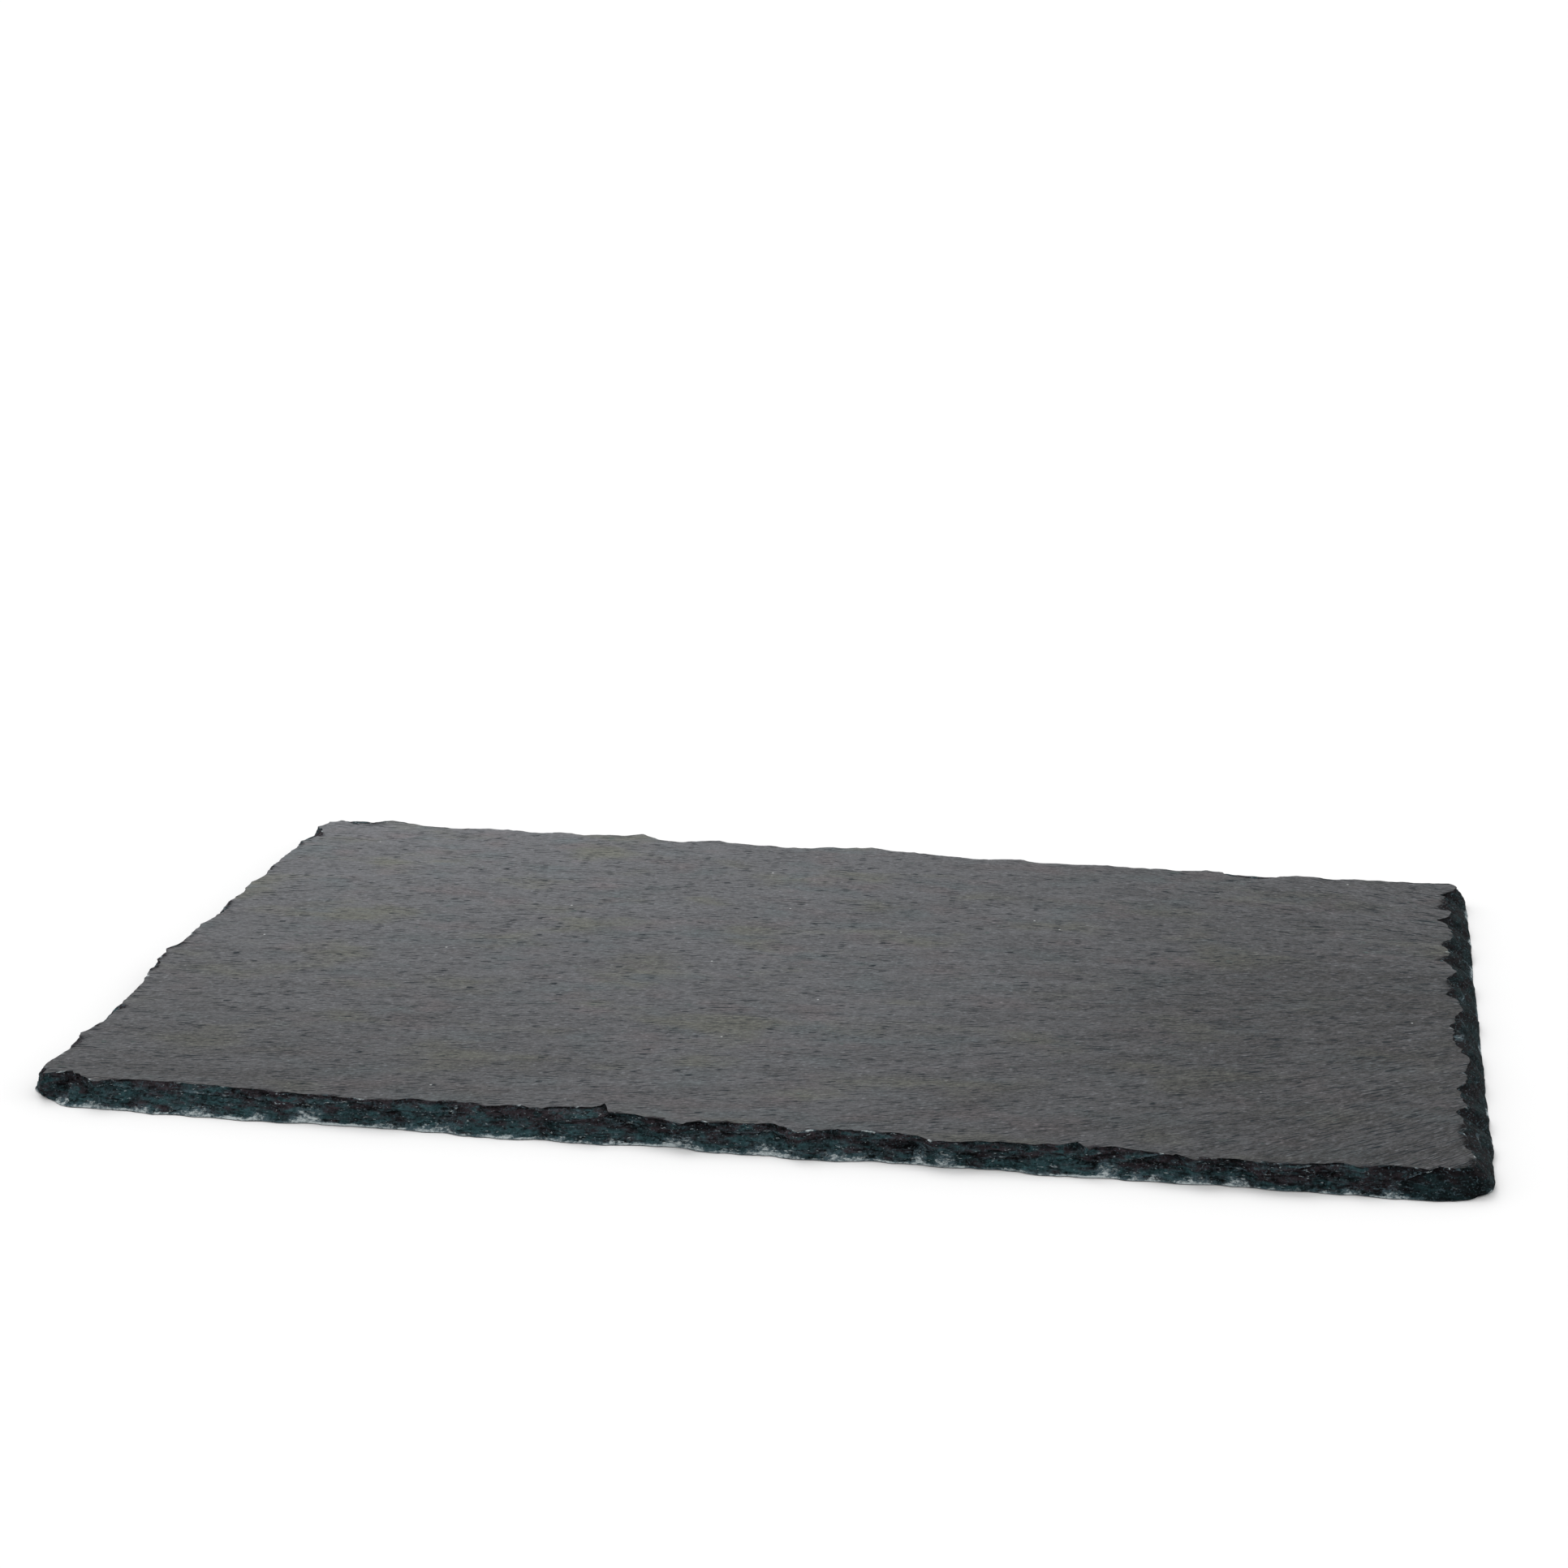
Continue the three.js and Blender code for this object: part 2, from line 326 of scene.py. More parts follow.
# The relief of a riven face, in mm: the height, length and width of its swells, and of the ribs
# of the grain, which also have a shift from lane to lane.
SWELLS = ((0.07, 52, 36), (0.035, 17, 11))
RIBS = ((0.03, 23, 4.2, 0.31), (0.022, 11, 2.1, 0.17))


def grain_lanes(x, y):
    """The count across the grain, halved an even and an odd number of times, and the weights."""
    tightness = GRAIN_GATHER * np.exp(x / GRAIN_REACH)
    across = (y - GRAIN_TURN * x - GRAIN_CENTRE) * np.exp(tightness)
    octave = tightness / math.log(2)
    even = 2 * np.round(octave / 2)
    odd = 2 * np.floor(octave / 2) + 1
    lanes = []
    for halvings in (even, odd):
        lanes.append((across * 2.0**-halvings, 1 - np.abs(octave - halvings), halvings))
    return lanes


def riven_relief(x, y, seed):
    """How high a riven face stands, in mm: the sum of its swells and of the ribs of the grain,
    each its height times noise."""
    relief = 0
    for number, (height, length, width) in enumerate(SWELLS):
        relief = relief + height * sheet_noise(x / length, y / width, seed + number)
    for across, weight, halvings in grain_lanes(x, y):
        lane = (halvings * 5).astype(int) + seed
        for number, (height, length, width, shift) in enumerate(RIBS, len(SWELLS)):
            ribs = sheet_noise(x / length + shift * lane, across / width, seed + number)
            relief = relief + weight * height * ribs
    return relief


# %% [markdown]
# ## The grid of the edge
# The edge gets a fine grid: 27 rows from the foot to the rim, and 2048 columns round the slab.
# The top sheet of the cleavage, which is gone beside the rim in places, has rows of its own, so
# that the step down to the next sheet stays sharp.

# %% The rows and columns of the edge
COLUMNS = 2048
EDGE_ROWS = 24
TOP_SHEET = 0.4
place = np.arange(COLUMNS) * ALL_ROUND / COLUMNS
sheet_foot = THICKNESS - TOP_SHEET
sheet_rows = [sheet_foot + 0.03, THICKNESS - 0.12, THICKNESS]
row_mm = np.append(np.linspace(0, sheet_foot, EDGE_ROWS), sheet_rows)[:, None]
row_heights = row_mm / THICKNESS
print("a column is", round(place[1], 2), "mm wide, and there are", len(row_mm), "rows")

# %% [markdown]
# ## Bites
# A blow seldom lifts one clean flake. Smaller ones come off inside each scar, more crumble away
# at the foot where the iron struck, and the thin rim is nibbled. Each is a shell-shaped bite:
# deepest in its middle, with a border as an ellipse. Where bites overlap the deepest wins, so
# two of them meet in a sharp ridge, as they do in the stone.
#
# The bites are laid out one to a stretch of edge, and shifted, sized, raised, deepened and
# slanted by chance. So a point only has to look at its own stretch and its two neighbours.

# %% Bites and layers
# The spacing, half height and depth of each kind of bite, the lowest and the highest place of
# its middle, and its seed.
BITE_KINDS = (
    (11, 3.2, 1.1, 0.5, 3.5, 21), (4.6, 1.7, 0.7, 0.9, 4.8, 23), (2.3, 0.9, 0.4, 0.0, 0.9, 25),
    (3.1, 1.0, 0.7, 4.8, 5.6, 27), (7.3, 1.5, 0.9, 5.0, 5.7, 29),
)
MEAN_BITE = 0.7
# The height, length, thickness and first seed of the layers' unevenness.
LAYER_KINDS = ((0.22, 6, 0.9, 200), (0.16, 2.9, 0.5, 300), (0.12, 1.3, 0.4, 400))


def bites(spacing, tall, deep, lowest, highest, seed):
    """Bites round the slab: deep times (1 - u squared - v squared), with u and v the distances
    from a bite's middle, along and upwards, as shares of its half length and half height."""
    count = round(ALL_ROUND / spacing)
    chance = np.random.default_rng(seed).uniform(0, 1, (5, count))
    cell = np.floor(place / ALL_ROUND * count).astype(int)
    deepest = np.zeros((len(row_mm), COLUMNS))
    for neighbour in (-1, 0, 1):
        shift, size, rise, deepness, slant = chance[:, (cell + neighbour) % count]
        middle = (cell + neighbour + between(0.2, 0.8, shift)) * ALL_ROUND / count
        upward = row_mm - between(lowest, highest, rise)
        along = place - middle - between(-0.63, 0.27, slant) * upward
        along = along / (spacing * between(0.45, 0.95, size))
        upward = upward / (tall * between(0.6, 1.4, size))
        deepest = np.maximum(deepest, deep * deepness * (1 - along**2 - upward**2))
    return deepest


def bites_and_layers():
    """The sum of all bites and of the layers' unevenness, in mm."""
    rough = sum(bites(*kind) for kind in BITE_KINDS)
    for height, length, thickness, seed in LAYER_KINDS:
        rough = rough + height * layer_noise(place, row_mm, length, thickness, seed)
    return rough


# %% [markdown]
# ## Ledges and nicks
# A blow can also stop at a layer. The stone below that layer is gone and a ledge is left, with
# a pale lip of painted highlight, or the stone above it is gone and a dark line of painted
# shadow shows. The main ones of the front are listed, and the other three sides get theirs by
# chance. The right side has sharp nicks across the whole edge as well.

# %% Ledges and nicks
# The ledges of the front: from and to along it, their heights there, how far the stone has
# gone, and the distance over which it comes back, in mm. It is gone below the ledge if the reach
# is above 0, and above the ledge if the reach is below 0.
FRONT_LEDGES = (
    (31, 47, 3.6, 3.4, 0.7, 0.9), (48, 59, 4.0, 1.5, 0.7, 1.2), (104, 118, 4.4, 5.0, 0.5, 0.9),
    (119.5, 135, 6.4, 1.2, -1.2, 2.6), (126, 134, 3.1, 2.9, 0.5, 0.7),
    (139.5, 148, 6.0, 3.0, -0.9, 2.0), (167, 181, 4.9, 5.1, 0.6, 1.3),
    (194, 217, 5.0, 4.9, 0.5, 1.0), (219, 227, 3.6, 0.7, -0.8, 1.4),
    (231, 243.5, 3.0, 6.0, 1.1, 3.0), (248, 257, 2.9, 2.7, 0.5, 0.8),
    (263, 273.5, 4.5, 5.0, 0.9, 2.5), (284, 295, 2.6, 6.0, 1.0, 5.0),
    (12, 27, 4.2, 3.4, 0.5, 1.5), (64, 79, 3.6, 4.4, 0.5, 1.5), (86, 97, 2.4, 3.6, 0.5, 1.5),
    (149, 161, 2.8, 4.1, 0.6, 1.5), (182, 194, 2.2, 3.2, -0.6, 1.5), (202, 214, 1.6, 2.6, 0.6, 1.2),
)
OTHER_LEDGES = 34
LEDGE_BOW = 0.5
LIP_HALF = 0.3
# The nicks of the right side: where the middle of each is along it, and how deep it is.
RIGHT_NICKS = (
    (36, 1.6), (50, 1.2), (59.5, 1.5), (72.5, 1.8), (89, 2.0), (111.5, 1.7), (122.5, 1.6),
    (136.5, 2.0), (148, 2.2), (167, 2.0), (178, 1.8), (191, 1.6),
)
NICK_HALF = 3.4
NICK_POWER = 0.6


def chance_ledges(count, seed):
    """Ledges like those of the front, at chance places on the other three sides: 6 to 15 mm
    long and 1 to 5 mm up, rising or falling by up to 1.5 mm."""
    chance = np.random.default_rng(seed).uniform(0, 1, (count, 5))
    first = between(STARTS[1] + 8, ALL_ROUND - 16, chance[:, 0])
    last = first + between(6, 15, chance[:, 1])
    first_height = between(1, 5, chance[:, 2])
    last_height = first_height + between(-1.5, 1.5, chance[:, 3])
    reach = np.where(chance[:, 4] < 0.6, 0.6, -0.6)
    fall = between(0.8, 2.2, chance[:, 4])
    return np.stack((first, last, first_height, last_height, reach, fall), axis=1)


def ledges():
    """Two arrays: how far the stone beside the ledges has gone, and where their lips are: above
    0 a pale lip of painted highlight, and below 0 a dark one of painted shadow, with the stone
    hanging over it.
    Each goes as an arch from end to end. On one side of its line the stone is gone by the
    ledge's reach, less and less away from it, as e to the minus distance. The line wavers."""
    gone = np.zeros((len(row_mm), COLUMNS))
    painted_lip = np.zeros((len(row_mm), COLUMNS))
    waver = 0.15 * ring_noise(place, 3.3, 71)
    listed = [*FRONT_LEDGES, *chance_ledges(OTHER_LEDGES, 81)]
    for first, last, first_height, last_height, reach, fall in listed:
        share = np.clip((place - first) / (last - first), 0, 1)
        bow = LEDGE_BOW * np.sin(np.pi * share) + waver
        above = row_mm - first_height - (last_height - first_height) * share - bow
        arch = np.sqrt(4 * share * (1 - share))
        beyond = np.sign(reach) * above
        taken = abs(reach) * arch * np.where(beyond < 0, np.exp(beyond / fall), 0)
        gone = np.maximum(gone, taken)
        own_lip = np.sign(reach) * arch * np.clip(1.2 - np.abs(beyond - 0.1) / LIP_HALF, 0, 1)
        painted_lip = np.where(np.abs(own_lip) > np.abs(painted_lip), own_lip, painted_lip)
    return gone, painted_lip


def nicks():
    """V-shaped nicks: the depth times 1 - distance / half width, and less towards the foot."""
    depth = np.zeros((len(row_mm), COLUMNS))
    for middle, deepest in RIGHT_NICKS:
        wedge = np.clip(1 - np.abs(place - STARTS[1] - middle) / NICK_HALF, 0, 1)
        depth += deepest * wedge * row_heights**NICK_POWER
    return depth


# %% [markdown]
# ## The whole edge
# All of this adds up to one depth for each point of the grid. What the bites take on average is
# given back, so that the slab keeps its size. The front's right corner is worn smoother than
# the rest of the edge, and a steady foot is spared.
#
# One more number that the material will need comes from the same grid. It is high where the
# stone faces up, which is painted paler, as painted light with a little dust, and low in
# hollows and under an overhanging lip, where shade is painted.

# %% The depth of the edge, and its ground plan
SMOOTH_CORNER = STARTS[1] - 4
SMOOTH_REACH = 14
SMOOTH_SHARE = 0.3
LEVEL_SLOPE = 0.4
HOLLOW_REACH = 8
HOLLOW_DEPTH = 0.4
HOLLOW_SHADE_WEIGHT = 0.7
LIP_SHADOW_WEIGHT = 1.8


def rough_edge(edge_ledges):
    """Depths (rows, columns): the smooth cut, the ledges, the bites and layers where the edge
    isn't calm, the missing flakes and the nicks."""
    calm = np.clip(np.abs(place - SMOOTH_CORNER) / SMOOTH_REACH, SMOOTH_SHARE, 1)
    calm = calm * (1 - along_sides(place, STEADY_FOOT) * (1 - row_heights) ** 2)
    depth = cut_back(place, row_heights) + edge_ledges + (bites_and_layers() - MEAN_BITE) * calm
    return depth + flake_step(place, row_mm) + nicks()


def mean_around(values, reach):
    """The mean of every other column up to reach columns to both sides."""
    shifts = range(-reach, reach + 1, 2)
    return sum(np.roll(values, shift, axis=1) for shift in shifts) / len(shifts)


def painted_light_and_shade(edge_depth, painted_ledge_lips):
    """Painted light and shade for the edge: near 1 where it faces up and is painted paler, below 0
    where it hangs over, and lower still in the painted shadow under a lip or in a hollow:
    tanh(slope - level slope) plus the shadowed lips, minus the tanh of how much deeper the stone
    is cut back than it is around. Lips and hollows have their own weights."""
    slope = np.gradient(edge_depth, row_mm[:, 0], axis=0)
    hollow = edge_depth - mean_around(edge_depth, HOLLOW_REACH)
    shadowed_lips = np.clip(painted_ledge_lips, None, 0)
    light = np.tanh(slope - LEVEL_SLOPE) + LIP_SHADOW_WEIGHT * shadowed_lips
    return light - HOLLOW_SHADE_WEIGHT * np.tanh(hollow / HOLLOW_DEPTH)


edge_ledges, painted_ledge_lips = ledges()
edge_depth = rough_edge(edge_ledges)
# Painted light and shade for the edge, from its slopes, hollows and lips.
edge_light_and_shade = painted_light_and_shade(edge_depth, painted_ledge_lips)
plan = edge_points(place, edge_depth)
plain_foot = edge_points(place, cut_back(place, np.zeros((1, 1))))[0]
plan -= (plain_foot.min(axis=0) + plain_foot.max(axis=0)) / 2
print("the edge's grid is", plan.shape[:2], "and its depth goes up to", round(edge_depth.max(), 1))

# %% [markdown]
# ## One closed skin of rings
# Every row of the edge is a ring round the slab. More rings go on from the rim to the middle
# of the top face, and from the foot to the middle of the underside, so the whole skin is one
# stack of rings with a point at each end. A face as large as this one doesn't need the edge's
# fine columns, so on the way inwards a ring now and then has half as many points as the last.

# %% The rings of the two faces
NEAR_RIM = (0.998, 0.994, 0.988, 0.98, 0.97, 0.958, 0.945, 0.932)
TOP_SHARES = np.append(NEAR_RIM, np.linspace(0.918, 0.013, 66))
TOP_HALVINGS = (0.995, 0.96, 0.4, 0.2)
UNDER_SHARES = np.append(NEAR_RIM[::2], np.linspace(0.9, 0.02, 30))
UNDER_HALVINGS = (0.999, 0.98, 0.92, 0.4)
SWELL_ROOM = 0.1


def face_rings(border, surface, shares, halvings):
    """Rings from a border to its middle: the border times a share. Below each share in
    halvings a ring has half as many points. Their height comes from a function."""
    rings = []
    for share in shares:
        skip = 2 ** sum(share < limit for limit in halvings)
        points = border[::skip] * share
        rings.append(np.column_stack((points, surface(*points.T))))
    middle = np.array([[0.0, 0.0, float(surface(np.zeros(1), np.zeros(1))[0])]])
    return rings, middle


def top_height(x, y):
    """The height of the top face: the thickness, less a little so that no swell passes it."""
    return THICKNESS - SWELL_ROOM + riven_relief(x, y, seed=3)


def under_height(x, y):
    """The height of the underside: it only rises from the plane that the slab stands on."""
    return np.clip(SWELL_ROOM + riven_relief(x, y, seed=8), 0, None)


edge_rings = []
rim_height = top_height(*plan[-1].T)
for row, height in enumerate(row_heights[:, 0]):
    edge_rings.append(np.column_stack((plan[row], height * rim_height)))
top_rings, top_middle = face_rings(plan[-1], top_height, TOP_SHARES, TOP_HALVINGS)
under_rings, under_middle = face_rings(plan[0], under_height, UNDER_SHARES, UNDER_HALVINGS)
rings = under_rings[::-1] + edge_rings + top_rings
print("the skin has", len(rings), "rings")


# %% The triangles between the rings
def bridge(first, first_count, second, second_count):
    """Triangles between two rings, from the numbers of their first points: two for each pair of
    neighbours, or three where one ring has half as many points as the other."""
    if first_count < second_count:
        return bridge(second, second_count, first, first_count)[:, ::-1]
    here = np.arange(second_count)
    beside = (here + 1) % second_count
    if first_count == second_count:
        lower = np.stack((first + here, first + beside, second + beside), axis=1)
        upper = np.stack((first + here, second + beside, second + here), axis=1)
        return np.concatenate((lower, upper))
    even, between, after = 2 * here, 2 * here + 1, 2 * beside
    left = np.stack((first + even, first + between, second + here), axis=1)
    right = np.stack((first + between, first + after, second + beside), axis=1)
    inner = np.stack((first + between, second + beside, second + here), axis=1)
    return np.concatenate((left, right, inner))


def fan(middle, first, count):
    """Triangles from a middle point to a whole ring, from the number of its first point."""
    here = np.arange(count)
    beside = (here + 1) % count
    return np.stack((np.full_like(here, middle), first + here, first + beside), axis=1)


def skin(rings, under_middle, top_middle):
    """Points and triangles of the closed skin, with a fan at each end. The fan of the underside
    faces down, so its triangles go round the other way."""
    points = np.concatenate([under_middle, *rings, top_middle])
    counts = np.array([len(ring) for ring in rings])
    starts = 1 + np.concatenate(([0], np.cumsum(counts)[:-1]))
    parts = [bridge(a, m, b, n) for a, m, b, n in zip(starts, counts, starts[1:], counts[1:])]
    under_fan = fan(0, starts[0], counts[0])[:, [0, 2, 1]]
    top_fan = fan(len(points) - 1, starts[-1], counts[-1])
    return points, np.concatenate([under_fan, *parts, top_fan])


points, triangles = skin(rings, under_middle, top_middle)
print("the skin has", len(points), "points and", len(triangles), "triangles")

# %% [markdown]
# ## Broken stone and crushed stone
# The riven faces and the broken edge are the same rock with a different skin. A blow also
# crushes the stone at the foot of the edge to pale crumbs, and here and there the rim. A thin
# hem of them follows the whole foot of the front. The small ledges that face upwards are
# painted paler, as painted light with a little dust, and hollows and the stone under an
# overhanging lip are painted dark, as painted shade.
#
# The mesh carries each of the three as a number at each point, a named attribute, which the
# material can read like a picture. A little of the dark skin laps over the rim in smudges.

# %% Where the stone is crushed
# The crushed stretches of the front: from and to along it, and how high the crumbs go.
CRUSHED_FRONT = (
    (4, 12, 1.1), (13, 20, 1.2), (25, 30, 1.3), (33, 45, 1.5), (47, 57, 1.2), (59, 67, 3.0),
    (73, 84, 0.9), (84, 95, 2.4), (100, 109, 1.5), (115, 119, 1.2), (126, 131, 1.0),
    (135, 149, 1.9), (150, 155, 1.0), (155, 167, 2.7), (170, 181, 1.3), (188, 192, 3.2),
    (193, 198, 2.4), (215, 219, 1.2), (225, 230, 2.2), (232, 239, 1.8), (240, 250, 1.6),
    (250, 256, 1.3), (268, 273, 0.8), (273, 277, 2.3), (281, 285, 1.4),
)
OTHER_CRUSHED_HEIGHT = 0.9
MOST_CRUSHED = 0.75
# The hem of crumbs: places round the slab, how much there is of it at each, and its height.
HEM_PLACES = (0, 12, 280, 296, ALL_ROUND)
HEM_AMOUNTS = (0, 0.95, 0.85, 0, 0)
HEM_HEIGHT = 0.35


def crushed_at_foot():
    """From 0 to 1 on the edge: an arch over each crushed stretch of the front, and a low one
    over the middle of each scar on the other sides. It ends at the stretch's own height."""
    stretches = list(CRUSHED_FRONT)
    for start, end in zip(SCAR_FROM, SCAR_TO):
        if start >= STARTS[1]:
            first, last = start + 0.3 * (end - start), start + 0.75 * (end - start)
            stretches.append((first, last, OTHER_CRUSHED_HEIGHT))
    amount = np.zeros_like(edge_depth)
    ragged = 1 + 0.5 * ring_noise(place, 3.1, 61) + 0.35 * ring_noise(place, 1.3, 62)
    for start, end, tall in stretches:
        share = (2 * place - start - end) / (end - start)
        arch = np.clip(1.1 - share**2, 0, 1)
        amount = np.maximum(amount, arch * np.clip(1.1 - row_mm / (tall * ragged), 0, 1))
    return MOST_CRUSHED * amount


def hem_of_crumbs():
    """The hem's amount at each place, more and less by chance, and fading above its height."""
    amount = np.interp(place, HEM_PLACES, HEM_AMOUNTS) * (0.75 + 0.45 * ring_noise(place, 5.2, 67))
    return amount * np.clip(1.7 - row_mm / HEM_HEIGHT, 0, 1)


# %% The three attributes
# How much of the crumbs and of the smudges is left on the first rings of the top face.
CRUMB_FADE = np.array([[0.7], [0.1]])
SMUDGE_FADE = np.array([[0.8], [0.6], [0.4], [0.15], [0]])
LIP_HIGHLIGHT = 0.4
BROKEN_AT_RIM = 0.5


def at_foot_and_rim(rings, foot, rim):
    """One number for each point of the skin: foot (rows, columns) on the edge and rim (rows,
    columns) on the first rings of the top face, and 0 elsewhere."""
    values = [np.zeros(len(ring)) for ring in rings]
    for row, numbers in enumerate(foot):
        values[len(under_rings) + row] = numbers
    for row, numbers in enumerate(rim):
        ring = len(under_rings) + len(edge_rings) + row
        values[ring] = numbers[:: COLUMNS // len(values[ring])]
    return np.concatenate([[0], *values, [0]])


at_foot = np.maximum(crushed_at_foot(), hem_of_crumbs())
# The pale lips of the ledges are painted highlight, laid on with the crumbs.
at_foot = np.maximum(at_foot, LIP_HIGHLIGHT * painted_ledge_lips)
at_rim = np.clip(4 * ring_noise(place, 1.7, 63) - 2.6, 0, 0.7)
at_foot[-2:] = at_rim
crushed = at_foot_and_rim(rings, at_foot, at_rim * CRUMB_FADE)
all_broken = np.ones_like(at_foot)
all_broken[-1] = BROKEN_AT_RIM
smudges = np.clip(2.4 * ring_noise(place, 4.4, 65) - 0.4, 0, 0.9)
broken_skin = at_foot_and_rim(rings, all_broken, smudges * SMUDGE_FADE)
# The painted light and shade of the edge, carried as the third attribute.
painted_light_shade = at_foot_and_rim(rings, edge_light_and_shade, [])
print("crushed stone covers", round(100 * (at_foot > 0.1).mean()), "% of the edge")

# %% The mesh
SHARP_ANGLE = math.radians(32)
mesh = bpy.data.meshes.new("slate_sheet")
mesh.from_pydata((points * MM).tolist(), [], triangles.tolist())
numbers_at_points = {"crushed": crushed, "broken_skin": broken_skin, "painted_light_shade": painted_light_shade}
for name, values in numbers_at_points.items():
    attribute = mesh.attributes.new(name, "FLOAT", "POINT")
    attribute.data.foreach_set("value", values.astype(np.float32))
mesh.shade_smooth()
mesh.set_sharp_from_angle(angle=SHARP_ANGLE)
mesh.validate()
slab = bpy.data.objects.new("slate_sheet", mesh)
bpy.context.collection.objects.link(slab)
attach(slab, "root")
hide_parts("slate_slab")

# %% [markdown]
# ## Shader maths in Python
# A material is a graph of small nodes. Written one by one, a sum of three terms is a page of
# links. So a small class stands for one socket of a node, and Python's own operators on it add
# the Math nodes. A second class is the material, with one method that adds any other node.

# %% A socket that can be calculated with
class Wire:
    """An output socket in a node tree. Each operator adds one Math node."""

    def __init__(self, tree, socket):
        self.tree = tree
        self.socket = socket

    def math(self, operation, *others):
        """Adds one Math node, with this socket first and the other values after it."""
        node = self.tree.nodes.new("ShaderNodeMath")
        node.operation = operation
        for entry, value in zip(node.inputs, (self, *others)):
            connect(self.tree, entry, value)
        return Wire(self.tree, node.outputs[0])

    def __add__(self, other):
        return self.math("ADD", other)

    def __sub__(self, other):
        return self.math("SUBTRACT", other)

    def __rsub__(self, other):
        return (self * -1) + other

    def __mul__(self, other):
        return self.math("MULTIPLY", other)

    def __truediv__(self, other):
        return self.math("DIVIDE", other)

    __radd__ = __add__
    __rmul__ = __mul__


def connect(tree, entry, value):
    """Links a Wire to an input socket, or writes a plain value into it."""
    if isinstance(value, Wire):
        tree.links.new(value.socket, entry)
    else:
        entry.default_value = value


class Finish:
    """A material whose node tree starts with one Principled shader."""

    def __init__(self, name):
        self.material = bpy.data.materials.new(name)
        self.material.use_nodes = True
        self.tree = self.material.node_tree
        self.shader = self.tree.nodes["Principled BSDF"]

    def add(self, kind, settings, values, output=0):
        """Adds a node of a kind, with its settings first and then its sockets' values."""
        node = self.tree.nodes.new(kind)
        for name, value in settings.items():
            setattr(node, name, value)
        for name, value in values.items():
            connect(self.tree, self.entry(node, name), value)
        return Wire(self.tree, node.outputs[output])

    def entry(self, node, name):
        """An input socket by its place, its identifier or its name."""
        if isinstance(name, int):
            return node.inputs[name]
        for socket in node.inputs:
            if name in (socket.identifier, socket.name):
                return socket
        raise KeyError(name)

    def attribute(self, name):
        """A number that the mesh carries at each point."""
        return self.add("ShaderNodeAttribute", {"attribute_name": name}, {}, "Fac")

    def vector(self, x, y, z):
        """Three numbers as one vector."""
        return self.add("ShaderNodeCombineXYZ", {}, {"X": x, "Y": y, "Z": z})

    def scaled(self, vector, factor):
        """A vector or a colour times a number."""
        return self.add("ShaderNodeVectorMath", {"operation": "SCALE"}, {0: vector, 3: factor})

    def noise(self, vector, scale, detail=2.0, roughness=0.5):
        """Chance around 0.5. Detail adds finer steps, each weaker by the roughness."""
        values = {"Vector": vector, "Scale": scale, "Detail": detail, "Roughness": roughness}
        return self.add("ShaderNodeTexNoise", {}, values)

    def blend(self, factor, first, second):
        """Mixes two colours: first where the factor is 0, second where it is 1."""
        values = {"Factor_Float": factor, "A_Color": first, "B_Color": second}
        return self.add("ShaderNodeMix", {"data_type": "RGBA"}, values, 2)

    def rise(self, value, start, end):
        """A smooth step from 0 to 1 while a value goes from start to end."""
        settings = {"interpolation_type": "SMOOTHSTEP"}
        return self.add("ShaderNodeMapRange", settings, {"Value": value, 1: start, 2: end})


# %% [markdown]
# ## The slate
# The riven face is a warm dark grey. Close to, it is made of short dark dashes of painted
# shadow and pale lips of painted highlight, some millimetres long and less than one thick,
# where the cleavage steps from one layer to the next. They lie along the grain, so they come
# from noise that is stretched along it. Below them lie soft clouds of olive, blue and
# brownish grey, a few patches of a mossy green and a few pale specks.
#
# The broken edge is much darker, because it was never split clean: nearly black brown above
# and a deep blue-green below, in thin wavy layers. Splinters and flecks of it are paler, the
# splits between layers are nearly black, and where the stone is crushed it has pale crumbs.
#
# Both belong to one stone and so to one material. The mesh's own attribute says which is where.
# The riven face has a faint sheen and the broken stone is dull, so each has its own shader, and
# the same attribute mixes the two.

# %% The grain as a node expression
SHEEN = 0.19
LANE_STEP = 3.7
slate = Finish("riven_slate")
slate.shader.inputs["Specular IOR Level"].default_value = SHEEN
coordinates = slate.add("ShaderNodeTexCoord", {}, {}, "Object")
stone_mm = slate.scaled(coordinates, 1 / MM)
x_mm, y_mm, z_mm = (
    slate.add("ShaderNodeSeparateXYZ", {}, {0: stone_mm}, axis) for axis in range(3)
)

tightness = (x_mm / GRAIN_REACH).math("EXPONENT") * GRAIN_GATHER
across = (y_mm - x_mm * GRAIN_TURN - GRAIN_CENTRE) * tightness.math("EXPONENT")
octave = tightness / math.log(2)
even = (octave / 2).math("ROUND") * 2
odd = (octave / 2).math("FLOOR") * 2 + 1
lanes = []
for halvings in (even, odd):
    halved = across * (halvings * -math.log(2)).math("EXPONENT")
    lanes.append((halved, 1 - (octave - halvings).math("ABSOLUTE"), halvings))
spread = (lanes[0][1] * lanes[0][1] + lanes[1][1] * lanes[1][1]).math("SQRT")


def grain(length, width, detail, start):
    """Noise stretched along the grain: features about length mm long and width mm thick. The
    two lanes are blended, and the blend's contrast is brought back to that of one of them."""
    total = 0
    for halved, weight, halvings in lanes:
        vector = slate.vector(x_mm / length, halved / width, halvings * LANE_STEP + start)
        total = (slate.noise(vector, 1.0, detail) - 0.5) * weight + total
    return total / spread


streaks = grain(1.4, 0.75, 2.0, 0.0)
dashes = grain(3.0, 0.52, 0.0, 50.0)
lips = grain(1.4, 0.5, 0.0, 60.0)
long_dashes = grain(6.5, 0.62, 1.0, 70.0)
bands = grain(30.0, 6.0, 2.0, 90.0)
print("the grain takes", len(slate.tree.nodes), "nodes")

# %% The clouds of the riven face
WARM_GREY = (0.054, 0.056, 0.0615, 1)
OLIVE = (0.058, 0.06, 0.049, 1)
BLUE_GREY = (0.047, 0.056, 0.061, 1)
BROWN_GREY = (0.059, 0.053, 0.057, 1)
